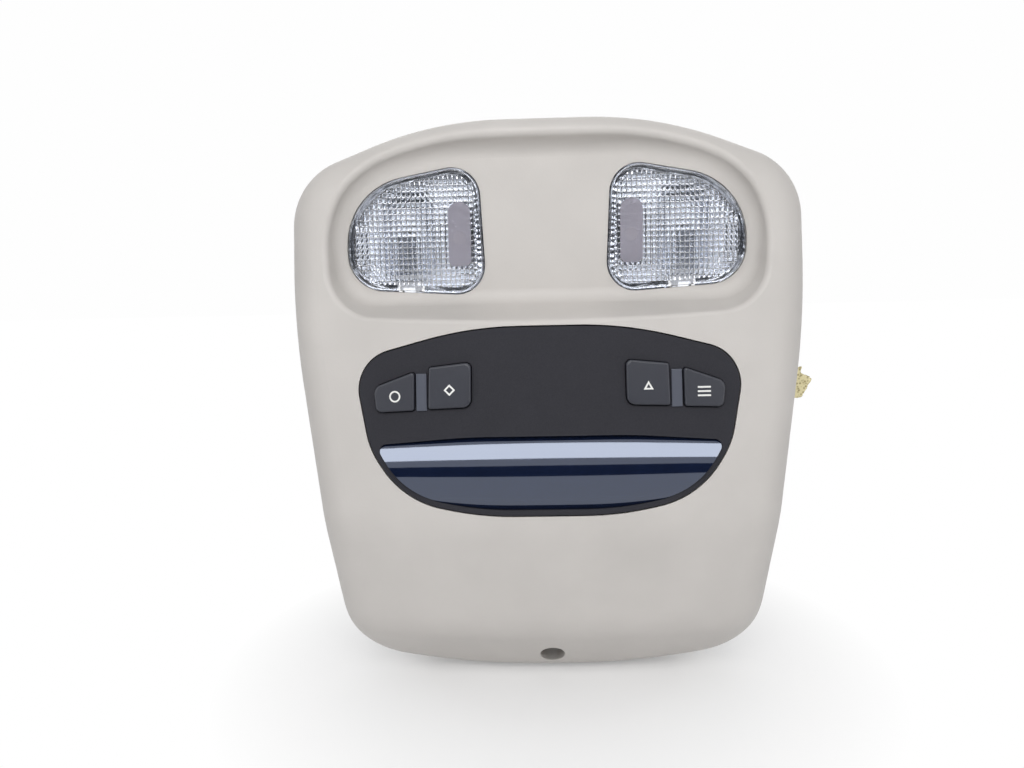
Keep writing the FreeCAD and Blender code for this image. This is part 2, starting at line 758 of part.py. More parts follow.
def make_cover():
    block = slab("cover_block", both_halves("module"), -S.cover_back, -S.module_skirt, -S.module_gap)
    inside = -(S.module_gap + S.cover_sheet)
    floor = -S.cover_back + S.cover_sheet
    parts = [cut("cover_shell", block, slab("cover_hollow", both_halves("module"), floor, 0, inside))]
    tools = [box("cover_connector_hole", 0, 8, -S.cover_back - 5, 20.6, 9.6, floor + 1)]
    rest = -S.board_front - S.board_sheet
    for x, y in ((50.0, 12.0), (38.0, -19.0)):
        for side in (-1, 1):
            parts.append(rod(f"rest_{x:g}_{word_of(side)}", 2.2, x * side, y, floor - 0.5, rest - floor + 0.5))
    screws = []
    seat = -S.boss_end - S.ear_sheet
    for count, (x, y) in enumerate(BOSS_SPOTS):
        for side in (-1, 1):
            tag = f"cover_{count}_{word_of(side)}"
            inner = (72.0, 58.0)[count]
            parts.append(rod(f"{tag}_ear", 4.6, x * side, y, seat, S.ear_sheet))
            parts.append(box(f"{tag}_link", (x + inner) / 2 * side, y, seat, x - inner + 8, 7, -S.boss_end))
            tools.append(rod(f"{tag}_hole", S.boss_bore + 0.2, x * side, y, seat - 3, 10))
            profile = [
                (0, 0, 0), (S.head_radius, 0, 0.5), (S.head_radius, S.head_depth, 0),
                (S.thread_radius, S.head_depth, 0), (S.thread_radius, 10.5, 0.3), (0, 10.5, 0),
            ]
            screws.append(turned(f"{tag}_screw", profile, x * side, y, seat - S.head_depth))
    bay = slab("cover_bay", both_halves("module"), floor, 0, inside)
    shell = cut("cover_solid", joined("cover_parts", parts[0], *parts[5:]), bay)
    rests = joined("cover_joined", shell, *parts[1:5])
    stand_on_face("module_back_cover", cut("cover_done", rests, *tools))
    stand_on_face("module_screws", grouped("screws_done", *screws))


def make_clip(side):
    word = word_of(side)
    reach, half, sheet_size = S.clip_reach, S.clip_blade / 2, S.clip_sheet
    right = [
        (half, 0, 0),
        (half + sheet_size, 0, 0),
        (half + 3.6, -5.5, 1.2),
        (half + sheet_size, -(reach + sheet_size), 0.5),
    ]
    inner = [
        (half, -0.5, 0),
        (half + 3, -5.5, 0.6),
        (half, -(reach - 0.8), 0),
        (half, -reach, 0),
    ]
    outer_left = [(-x, z, r) for x, z, r in reversed(right)]
    inner_left = [(-x, z, r) for x, z, r in inner]
    corners = right[::1] + outer_left + inner_left + inner[::-1]
    profile = doc.addObject("Sketcher::SketchObject", f"{word}_clip_profile")
    place(profile, S.clip_x * side, S.clip_y + S.clip_width / 2, 0, UPRIGHT)
    draw_loop(profile, corners[::-1])
    spring = doc.addObject("Part::Extrusion", f"{word}_clip_spring")
    spring.Base = profile
    spring.DirMode = "Custom"
    spring.Dir = Vector(0, -1, 0)
    spring.Solid = True
    bind(spring, "LengthFwd", S.clip_width)
    stand_up(f"{word}_roof_clip", grouped(f"{word}_clip_done", spring))


def make_foam():
    stand_up("foam_pad", grouped("foam_done", slab("foam_scrap", corners_of("foam"), -3.2, 0)))


make_housing()
for hand in (-1, 1):
    make_lens(hand)
    make_reflector(hand)
    make_bulb(hand)
    make_lamp_switch(hand)
    make_clip(hand)
make_panel()
make_window()
for button, (button_outline, hand) in BUTTONS.items():
    make_button(button, button_outline, hand)
make_electronics()
make_cover()
make_foam()
doc.recompute()
for item in doc.Objects:
    if "Invalid" in item.State or "Error" in item.State:
        print("bad state", item.Name, item.State)
faults = []
for piece in pieces:
    shape = piece.Shape
    if shape.isNull() or not shape.isValid() or not shape.Solids:
        faults.append(piece.Label)
        continue
    box_text = " ".join(f"{v:.1f}" for v in (
        shape.BoundBox.XMin, shape.BoundBox.XMax, shape.BoundBox.YMin,
        shape.BoundBox.YMax, shape.BoundBox.ZMin, shape.BoundBox.ZMax,
    ))
    print(piece.Label, len(shape.Solids), f"{shape.Volume:.0f}", box_text)
if faults:
    raise RuntimeError(f"pieces without a sound solid: {faults}")
os.makedirs(PARTS_DIR, exist_ok=True)
for piece in pieces:
    piece.Shape.exportStep(os.path.join(PARTS_DIR, f"{piece.Label}.step"))
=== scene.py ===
import json
import math

import bpy
from mathutils import Matrix, Vector

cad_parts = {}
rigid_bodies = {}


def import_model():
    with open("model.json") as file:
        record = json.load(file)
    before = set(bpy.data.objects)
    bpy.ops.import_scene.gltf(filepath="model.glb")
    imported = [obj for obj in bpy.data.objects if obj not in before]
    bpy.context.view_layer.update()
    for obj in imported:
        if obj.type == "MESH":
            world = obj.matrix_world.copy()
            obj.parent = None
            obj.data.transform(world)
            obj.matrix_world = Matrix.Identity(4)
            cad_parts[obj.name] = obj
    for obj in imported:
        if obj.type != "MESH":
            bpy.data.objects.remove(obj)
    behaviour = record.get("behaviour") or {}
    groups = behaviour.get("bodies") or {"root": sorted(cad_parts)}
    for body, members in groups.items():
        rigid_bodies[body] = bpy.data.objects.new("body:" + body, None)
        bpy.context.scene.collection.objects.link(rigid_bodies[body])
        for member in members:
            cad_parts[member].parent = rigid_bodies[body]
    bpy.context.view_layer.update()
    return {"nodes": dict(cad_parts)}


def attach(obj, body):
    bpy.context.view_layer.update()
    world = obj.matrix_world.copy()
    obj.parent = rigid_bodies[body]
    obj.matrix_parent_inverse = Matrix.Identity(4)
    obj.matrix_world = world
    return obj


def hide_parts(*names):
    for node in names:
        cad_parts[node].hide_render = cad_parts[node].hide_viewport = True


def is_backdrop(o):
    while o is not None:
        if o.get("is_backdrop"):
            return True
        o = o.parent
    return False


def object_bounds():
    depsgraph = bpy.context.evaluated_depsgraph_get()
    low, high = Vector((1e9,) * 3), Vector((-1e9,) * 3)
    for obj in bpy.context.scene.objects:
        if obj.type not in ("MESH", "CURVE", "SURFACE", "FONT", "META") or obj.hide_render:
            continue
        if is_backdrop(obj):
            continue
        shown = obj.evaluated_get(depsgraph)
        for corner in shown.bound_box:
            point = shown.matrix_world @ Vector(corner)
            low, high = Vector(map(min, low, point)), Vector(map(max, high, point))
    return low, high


bl_info = {
    "name": "Car interior light",
    "version": (1, 0, 0),
    "blender": (4, 5, 0),
    "location": "View3D > Sidebar > Interior light",
    "description": "Dresses the packed interior light with finishes, prisms, signs and a studio",
    "category": "Object",
}

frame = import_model()
MM = 0.001
SIDES = ((-1, "left"), (1, "right"))

# The display's face in the shared frame, as the solids have it.
FACE_ORIGIN = Vector((0.0, -44.54, 98.5)) * MM
FACE_TILT = math.radians(8.08)
FACE_CROWN = 420.0 * MM
BUTTON_PROUD = 1.8 * MM
# How deep the panel's skirt reaches behind that face, and the black strip round its end that stands in for
# the shade in the gap round the panel.
PANEL_SKIRT = 14.0 * MM
SHADE_STRIP_WIDE = 3.0 * MM
SHADE_STRIP_THICK = 2.0 * MM
# A bar between two buttons: its size, and its place on the face on the right.
BAR_SIZE = (4.0 * MM, 13.6 * MM, 0.9 * MM)
BAR_PLACE = (46.2 * MM, 11.0 * MM, 0.35 * MM)
# The middle of each button's sign on the face, and how many sides a ring has.
SIGN_SPOTS = {
    "menu": (56.0 * MM, 9.6 * MM),
    "units": (-56.0 * MM, 9.6 * MM),
    "reset": (-35.8 * MM, 11.6 * MM),
    "step": (35.8 * MM, 11.6 * MM),
}
RING_SIDES = {"units": 32, "reset": 4, "step": 3}
# The barrel that the display window is part of: a point of its axis, which runs across, and its radius.
BARREL_MIDDLE = (0.0, -21.7 * MM, 76.5 * MM)
BARREL_RADIUS = 27.0 * MM

# A lens opening on the right: each corner's x, z and radius in millimetres, and the middle.
LENS_CORNERS = ((22.6, 142.8, 11.0), (75.8, 146.2, 14.0), (75.6, 184.0, 26.0), (24.8, 193.4, 11.0))
LENS_MIDDLE = (49.0, 168.0)
# The plain finger pad of a lens, in the same way.
PAD_CORNERS = ((28.2, 154.2, 2.6), (37.0, 154.2, 2.6), (37.0, 178.4, 4.1), (28.2, 178.4, 4.1))
# The back of the lens plate, the air behind it, and the sheet of prisms behind that.
LENS_BACK = -18.3 * MM
LENS_AIR = 0.1 * MM
PRISM_COLUMNS = 28
PRISM_ROWS = 24
PRISM_BASE = 0.3 * MM

# How the foam scrap is torn: direction, strength in millimetres and the level that stays in place.
FOAM_TEARS = (("X", 6.0, 0.7), ("Z", 4.0, 0.7), ("NORMAL", 0.6, 0.5))

# The photograph's camera: focal length and image centre in pixels.
PHOTO_FOCAL = 820.0
PHOTO_CENTRE = (512.0, 384.0)
PHOTO_WIDTH = 1024.0
AIM_PIXEL = (548.0, 392.0)
AIM_POINT = Vector((0.0, -19.3, 105.1)) * MM
SENSOR = 36.0
# Each lamp's place and size in metres, the setting that gives its power, and its share of that.
LAMPS = (
    ("strip_above", (0.0, -0.66, 0.56), (0.54, 0.36), "key", 1.0),
    ("softbox_overhead", (0.0, -0.1, 0.95), (0.8, 0.8), "fill", 0.8),
    ("softbox_behind", (0.0, 1.0, 0.5), (1.0, 0.6), "fill", 1.6),
    ("softbox_left", (-0.7, -0.6, 0.35), (0.5, 0.8), "fill", 1.0),
    ("softbox_right", (0.7, -0.6, 0.35), (0.5, 0.8), "fill", 1.0),
)
# The card behind the camera, and the reach over which the floor fades from shadow to white, in metres.
CARD_MIDDLE = (0.0, -1.3, 0.19)
CARD_SIZE = (2.4, 0.38, 1.0)
SHADOW_NEAR = 0.05
SHADOW_FAR = 0.14


class ShellSettings(bpy.types.PropertyGroup):
    """Sizes and colours of the moulded shell and the scrap of foam."""

    colour: bpy.props.StringProperty(
        name="Shell colour", description="sRGB hex of the shell", default="#C7C3BF"
    )
    grain: bpy.props.FloatProperty(
        name="Grain", description="Width of the moulded grain", default=0.7 * MM, unit="LENGTH"
    )
    stain: bpy.props.FloatProperty(
        name="Stain", description="Width of the faint aged patches", default=30.0 * MM, unit="LENGTH"
    )
    foam_colour: bpy.props.StringProperty(
        name="Foam", description="sRGB hex of aged foam", default="#E8DEB2"
    )
    foam_cell: bpy.props.FloatProperty(
        name="Foam cell", description="Width of the open cells", default=1.1 * MM, unit="LENGTH"
    )


class LampSettings(bpy.types.PropertyGroup):
    """Sizes and colours of the two reading lamps."""

    prism_across: bpy.props.FloatProperty(
        name="Prism width", description="Prism pitch across", default=1.8 * MM, unit="LENGTH"
    )
    prism_up: bpy.props.FloatProperty(
        name="Prism height", description="Prism pitch upwards", default=2.1 * MM, unit="LENGTH"
    )
    prism_depth: bpy.props.FloatProperty(
        name="Prism depth", description="How far a prism stands out", default=0.66 * MM, unit="LENGTH"
    )
    border: bpy.props.FloatProperty(
        name="Border", description="Plain border of the lens", default=2.7 * MM, unit="LENGTH"
    )
    silver: bpy.props.StringProperty(
        name="Reflector", description="sRGB hex of the bright coat", default="#E6E9F0"
    )


class DisplaySettings(bpy.types.PropertyGroup):
    """Sizes and colours of the trip display and its buttons."""

    panel: bpy.props.StringProperty(name="Panel", description="sRGB hex of the panel", default="#29292F")
    button: bpy.props.StringProperty(
        name="Buttons", description="sRGB hex of the buttons", default="#2D2F38"
    )
    bridge: bpy.props.StringProperty(
        name="Bridge bars", description="sRGB hex of the bars", default="#4A4E5A"
    )
    window: bpy.props.StringProperty(name="Window", description="sRGB hex of the tint", default="#0E1830")
    legend: bpy.props.FloatProperty(
        name="Legend size", description="Height of a button's sign", default=4.2 * MM, unit="LENGTH"
    )
    ink: bpy.props.FloatProperty(
        name="Ink", description="Thickness of the printed ink", default=0.1 * MM, unit="LENGTH"
    )


class StageSettings(bpy.types.PropertyGroup):
    """Camera and light."""

    elevation: bpy.props.FloatProperty(name="Elevation", description="Camera height angle", default=8.0)
    azimuth: bpy.props.FloatProperty(name="Azimuth", description="Camera side angle", default=2.0)
    roll: bpy.props.FloatProperty(name="Roll", description="Camera roll angle", default=1.35)
    distance: bpy.props.FloatProperty(
        name="Distance", description="Camera to the aim point", default=319.0 * MM, unit="LENGTH"
    )
    key: bpy.props.FloatProperty(name="Key light", description="Power of the strip light", default=3.0)
    fill: bpy.props.FloatProperty(name="Fill light", description="Power of a side light", default=1.7)
    room: bpy.props.FloatProperty(name="Room", description="Strength of the room's light", default=0.19)


def linear(text):
    """An sRGB hex value as linear RGBA."""
    parts = [int(text[i:i + 2], 16) / 255 for i in (1, 3, 5)]
    return [c / 12.92 if c <= 0.04045 else ((c + 0.055) / 1.055) ** 2.4 for c in parts] + [1.0]


def add_node(tree, kind, inputs=None, **settings):
    """One node with its settings, values and links. A node given as a value links its first output."""
    node = tree.nodes.new(kind)
    for name, value in settings.items():
        setattr(node, name, value)
    for name, value in (inputs or {}).items():
        if isinstance(value, bpy.types.Node):
            value = value.outputs[0]
        if isinstance(value, bpy.types.NodeSocket):
            tree.links.new(value, node.inputs[name])
        else:
            node.inputs[name].default_value = value
    return node


def new_finish(name, **values):
    """A material with one Principled shader: it, its tree, its shader and the point on the piece."""
    material = bpy.data.materials.new(name)
    material.use_nodes = True
    tree = material.node_tree
    shader = tree.nodes["Principled BSDF"]
    for key, value in values.items():
        shader.inputs[key.replace("_", " ")].default_value = value
    spot = add_node(tree, "ShaderNodeTexCoord").outputs["Object"]
    return material, tree, shader, spot


def mottle(tree, shader, spot, colour, width, contrast):
    """Uneven colour in patches of that width."""
    patches = add_node(tree, "ShaderNodeTexNoise", {"Vector": spot, "Scale": 1 / width, "Detail": 3.0})
    ramp = add_node(tree, "ShaderNodeValToRGB", {"Fac": patches})
    base = linear(colour)[:3]
    for element, place, share in zip(ramp.color_ramp.elements, (0.3, 0.7), (1 - contrast, 1 + contrast)):
        element.position = place
        element.color = [min(c * share, 1.0) for c in base] + [1.0]
    tree.links.new(ramp.outputs["Color"], shader.inputs["Base Color"])


def roughen(tree, shader, spot, width, depth, rough, spread=0.06):
    """Bump of that width and depth, with a roughness that follows it."""
    grain = add_node(tree, "ShaderNodeTexNoise", {"Vector": spot, "Scale": 1 / width, "Detail": 2.0})
    bump = add_node(tree, "ShaderNodeBump", {"Height": grain, "Distance": depth, "Strength": 0.6})
    tree.links.new(bump.outputs["Normal"], shader.inputs["Normal"])
    sheen = add_node(
        tree,
        "ShaderNodeMapRange",
        {
            "Value": grain, "From Min": 0.3, "From Max": 0.7,
            "To Min": rough - spread, "To Max": rough + spread,
        },
    )
    tree.links.new(sheen.outputs[0], shader.inputs["Roughness"])


def moulded(name, colour, rough, width, depth, contrast=0.05, **values):
    """A moulded plastic: faint patches of colour under a fine grain."""
    material, tree, shader, spot = new_finish(name, **values)
    mottle(tree, shader, spot, colour, 14.0 * MM, contrast)
    roughen(tree, shader, spot, width, depth, rough)
    return material


def paint(material, *names):
    """Give CAD nodes a material."""
    for name in names:
        node = frame["nodes"][name]
        node.data.materials.clear()
        node.data.materials.append(material)


def activate(piece):
    """Select one object alone."""
    bpy.ops.object.select_all(action="DESELECT")
    piece.select_set(True)
    bpy.context.view_layer.objects.active = piece


def edit(piece, select="SELECT"):
    """Go into edit mode with all or nothing selected."""
    activate(piece)
    bpy.ops.object.mode_set(mode="EDIT")
    bpy.ops.mesh.select_mode(type="FACE")
    bpy.ops.mesh.select_all(action=select)


def leave():
    """Go back to object mode."""
    bpy.ops.object.mode_set(mode="OBJECT")


def edit_faces(piece, test):
    """Go into edit mode with the faces selected that pass the test."""
    edit(piece, "DESELECT")
    leave()
    for face in piece.data.polygons:
        face.select = test(face)
    bpy.ops.object.mode_set(mode="EDIT")


def apply_modifier(piece, kind, **settings):
    """Add one modifier with its settings and apply it."""
    activate(piece)
    modifier = piece.modifiers.new(kind.lower(), kind)
    for name, value in settings.items():
        setattr(modifier, name, value)
    bpy.ops.object.modifier_apply(modifier=modifier.name)


def welded_copy(node_name):
    """A copy of a CAD node as a new object, with its triangles joined up."""
    piece = bpy.data.objects.new(node_name + "_copy", frame["nodes"][node_name].data.copy())
    bpy.context.collection.objects.link(piece)
    edit(piece)
    bpy.ops.mesh.remove_doubles(threshold=0.002 * MM)
    leave()
    return piece


def smooth_copy(node_name):
    """A welded copy of a CAD node whose rounded edges shade smoothly and whose flats stay flat."""
    piece = welded_copy(node_name)
    bpy.ops.object.shade_smooth_by_angle(angle=math.radians(40))
    apply_modifier(piece, "WEIGHTED_NORMAL", mode="FACE_AREA", keep_sharp=True)
    return piece


def finish_piece(piece, name, material, body):
    """Name a new piece, lay its place into its mesh and let it ride on its body."""
    piece.name = name
    piece.data.name = name
    activate(piece)
    bpy.ops.object.transform_apply(location=True, rotation=True, scale=True)
    piece.data.materials.clear()
    piece.data.materials.append(material)
    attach(piece, body)


def on_face(x, y, lift):
    """The matrix of a spot on the crowned display face, x and y along it."""
    turn = Matrix.Rotation(math.radians(90) - FACE_TILT, 4, "X")
    swing = math.asin(x / FACE_CROWN)
    drop = FACE_CROWN * (1 - math.cos(swing))
    local = Matrix.Translation((x, y, lift - drop)) @ Matrix.Rotation(swing, 4, "Y")
    return Matrix.Translation(FACE_ORIGIN) @ turn @ local


class LIGHT_OT_shell(bpy.types.Operator):
    """Finish the shell, its clips and the scrap of foam"""

    bl_idname = "interior_light.shell"
    bl_label = "Shell"

    def execute(self, context):
        sizes = context.scene.light_shell
        paint(self.beige_abs(sizes), "housing")
        paint(self.spring_steel(), "left_roof_clip", "right_roof_clip", "module_screws")
        self.torn_foam(sizes)
        return {"FINISHED"}

    def beige_abs(self, sizes):
        """Moulded ABS, spark-eroded mould: a soft sheen, fine grain, faint patches of age."""
        material, tree, shader, spot = new_finish("moulded_beige_abs", IOR=1.53)
        mottle(tree, shader, spot, sizes.colour, sizes.stain, 0.035)
        roughen(tree, shader, spot, sizes.grain, 0.05 * MM, 0.52)
        return material

    def spring_steel(self):
        """Rolled spring steel, zinc plated: grey metal, drawn out along the strip."""
        material, tree, shader, spot = new_finish("zinc_plated_spring_steel", Metallic=1.0)
        drawn = add_node(tree, "ShaderNodeMapping", {"Vector": spot, "Scale": (1.0, 1.0, 0.15)})
        mottle(tree, shader, drawn.outputs[0], "#9A9892", 3.0 * MM, 0.08)
        roughen(tree, shader, drawn.outputs[0], 0.6 * MM, 0.01 * MM, 0.36)
        return material

    def torn_foam(self, sizes):
        """Aged polyurethane foam: pale yellow, with painted shade that darkens the middle of each open
        cell.
        """
        material, tree, shader, spot = new_finish("aged_polyurethane_foam")
        cells = add_node(
            tree, "ShaderNodeTexVoronoi", {"Vector": spot, "Scale": 1 / sizes.foam_cell}, feature="F1"
        )
        # Painted shade: darker brown at the middle of each open cell, where the pore lies in shadow.
        ramp = add_node(tree, "ShaderNodeValToRGB", {"Fac": cells.outputs["Distance"]})
        ramp.color_ramp.elements[0].position = 0.05
        ramp.color_ramp.elements[0].color = linear("#8C7B4A")
        ramp.color_ramp.elements[1].position = 0.55
        ramp.color_ramp.elements[1].color = linear(sizes.foam_colour)
        tree.links.new(ramp.outputs["Color"], shader.inputs["Base Color"])
        roughen(tree, shader, spot, sizes.foam_cell, 0.5 * MM, 0.92)
        foam = welded_copy("foam_pad")
        apply_modifier(foam, "REMESH", mode="VOXEL", voxel_size=0.5 * MM)
        crumble = bpy.data.textures.new("crumble", "CLOUDS")
        crumble.noise_scale = 5.5 * MM
        for direction, strength, level in FOAM_TEARS:
            apply_modifier(
                foam, "DISPLACE", texture=crumble, direction=direction, strength=strength * MM,
                mid_level=level, texture_coords="LOCAL",
            )
        bpy.ops.object.shade_smooth()
        finish_piece(foam, "foam_scrap", material, "console")
        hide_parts("foam_pad")


class LIGHT_OT_lamps(bpy.types.Operator):
    """Finish the lenses, reflectors, bulbs and lamp switches"""

    bl_idname = "interior_light.lamps"
    bl_label = "Reading lamps"

    def execute(self, context):
        sizes = context.scene.light_lamp
        acrylic = self.clear_acrylic()
        paint(acrylic, "left_lens", "right_lens")
        paint(self.metallised_coat(sizes), "left_reflector", "right_reflector")
        paint(self.bulb_glass(), "left_bulb", "right_bulb")
        # Glass-filled nylon: black, dull, with a dry grain.
        nylon = moulded("black_glass_filled_nylon", "#232325", 0.55, 0.5 * MM, 0.04 * MM)
        paint(
            nylon, "left_bulb_socket", "right_bulb_socket", "left_lamp_switch", "right_lamp_switch",
            "button_switches", "board_connector", "module_back_cover",
        )
        # Acetal: waxy off-white that slides well.
        acetal = moulded("white_acetal", "#DAD7CE", 0.38, 0.8 * MM, 0.01 * MM, Subsurface_Weight=0.1)
        paint(acetal, "left_switch_plunger", "right_switch_plunger")
        self.make_pair(context, self.prism_rows(context, sizes), "lens_prisms", acrylic)
        self.make_pair(context, self.finger_pad(context), "finger_pad", self.frosted_acrylic())
        return {"FINISHED"}

    def make_pair(self, context, right, name, material):
        """Finish a piece of the right lens, and a mirrored copy of it for the left one."""
        left = bpy.data.objects.new("left", right.data.copy())
        context.collection.objects.link(left)
        left.matrix_world = Matrix.Diagonal((-1, 1, 1, 1)) @ right.matrix_world
        finish_piece(right, "right_" + name, material, "right_lens_body")
        finish_piece(left, "left_" + name, material, "left_lens_body")
        edit(left)
        bpy.ops.mesh.normals_make_consistent(inside=False)
        leave()

    def clear_acrylic(self):
        """Clear moulded acrylic: polished and almost colourless, with a faint flow ripple."""
        material, tree, shader, spot = new_finish("clear_acrylic", IOR=1.49, Transmission_Weight=1.0)
        mottle(tree, shader, spot, "#F7F8FA", 20.0 * MM, 0.01)
        roughen(tree, shader, spot, 12.0 * MM, 0.02 * MM, 0.03, 0.01)
        return material

    def frosted_acrylic(self):
        """The same acrylic, etched: milky, so that little shows through it."""
        material, tree, shader, spot = new_finish("frosted_acrylic", IOR=1.49, Transmission_Weight=0.3)
        mottle(tree, shader, spot, "#D2CDD8", 10.0 * MM, 0.03)
        roughen(tree, shader, spot, 0.5 * MM, 0.02 * MM, 0.55)
        return material

    def metallised_coat(self, sizes):
        """Vacuum-metallised plastic: a bright mirror, slightly wavy and hazy."""
        material, tree, shader, spot = new_finish("vacuum_metallised_plastic", Metallic=1.0)
        mottle(tree, shader, spot, sizes.silver, 9.0 * MM, 0.06)
        roughen(tree, shader, spot, 13.0 * MM, 1.2 * MM, 0.13)
        return material

    def bulb_glass(self):
        """Drawn soda glass: tinted grey, which dims what shows through it, with a faint ripple."""
        material, tree, shader, spot = new_finish("drawn_bulb_glass", IOR=1.52, Transmission_Weight=1.0)
        mottle(tree, shader, spot, "#BCBEC3", 6.0 * MM, 0.02)
        roughen(tree, shader, spot, 4.0 * MM, 0.03 * MM, 0.06, 0.03)
        return material

    def prism_rows(self, context, sizes):
        """The right lens's field of prisms: a clear sheet behind the plate, each cell a stepped pyramid."""
        across, up = sizes.prism_across, sizes.prism_up
        bpy.ops.mesh.primitive_grid_add(x_subdivisions=PRISM_COLUMNS, y_subdivisions=PRISM_ROWS, size=1.0)
        sheet = context.active_object
        sheet.scale = (PRISM_COLUMNS * across, PRISM_ROWS * up, 1.0)
        activate(sheet)
        bpy.ops.object.transform_apply(location=False, rotation=False, scale=True)
        low, high = self.lens_spot(*PAD_CORNERS[0][:2]), self.lens_spot(*PAD_CORNERS[2][:2])

        def under_pad(cell):
            beside = low.x + across / 2 < cell.center.x < high.x - across / 2
            return beside and high.y + up / 2 < cell.center.y < low.y - up / 2

        edit_faces(sheet, under_pad)
        bpy.ops.mesh.delete(type="FACE")
        leave()
        apply_modifier(sheet, "SOLIDIFY", thickness=PRISM_BASE, offset=-1.0)
        edit_faces(sheet, lambda cell: cell.normal.z > 0.9)
        step = across / 5
        bpy.ops.mesh.inset(thickness=step, depth=sizes.prism_depth * 0.65, use_individual=True)
        bpy.ops.mesh.inset(thickness=step, depth=sizes.prism_depth * 0.35, use_individual=True)
        leave()
        outline = self.rounded_block(context, LENS_CORNERS, sizes.border, 8.0 * MM)
        apply_modifier(sheet, "BOOLEAN", object=outline, operation="INTERSECT", solver="EXACT")
        bpy.data.objects.remove(outline)
        if not sheet.data.polygons:
            raise RuntimeError("the prisms were lost when they were trimmed")
        activate(sheet)
        bpy.ops.object.shade_smooth_by_angle(angle=math.radians(50))
        sheet.matrix_world = self.behind_lens(PRISM_BASE)
        return sheet

    def finger_pad(self, context):
        """The milky film in the air between the lens plate and its prisms."""
        pad = self.rounded_block(context, PAD_CORNERS, 0.1 * MM, 0.8 * LENS_AIR)
        pad.matrix_world = self.behind_lens(-LENS_AIR / 2)
        return pad

    def behind_lens(self, depth):
        """The matrix that stands a flat piece up behind the lens plate, its front that deep."""
        place = Matrix.Translation((LENS_MIDDLE[0] * MM, LENS_BACK + LENS_AIR + depth, LENS_MIDDLE[1] * MM))
        return place @ Matrix.Rotation(math.radians(-90), 4, "X")

    def lens_spot(self, x, z):
        """A point of the lens's face, as it lies flat round the lens's middle."""
        return Vector(((x - LENS_MIDDLE[0]) * MM, (LENS_MIDDLE[1] - z) * MM, 0.0))

    def rounded_block(self, context, outline, border, thick):
        """A flat block with a rounded outline, less a border."""
        bpy.ops.mesh.primitive_plane_add(size=1.0)
        block = context.active_object
        corners = [(self.lens_spot(x, z), radius * MM) for x, z, radius in outline]
        for index, (spot, radius) in zip(block.data.polygons[0].vertices, reversed(corners)):
            block.data.vertices[index].co = spot
        for count, (spot, radius) in enumerate(corners):
            before, after = corners[count - 1][0], corners[(count + 1) % len(corners)][0]
            reach = radius / math.tan((before - spot).angle(after - spot) / 2)
            edit(block, "DESELECT")
            bpy.ops.mesh.select_mode(type="VERT")
            leave()
            for vertex in block.data.vertices:
                vertex.select = (vertex.co - spot).length < 0.01 * MM
            bpy.ops.object.mode_set(mode="EDIT")
            bpy.ops.mesh.bevel(offset=reach, segments=10, affect="VERTICES", clamp_overlap=False)
            leave()
        edit(block)
        bpy.ops.mesh.inset(thickness=border)
        bpy.ops.mesh.select_all(action="INVERT")
        bpy.ops.mesh.delete(type="FACE")
        leave()
        apply_modifier(block, "SOLIDIFY", thickness=thick, offset=0.0)
        return block


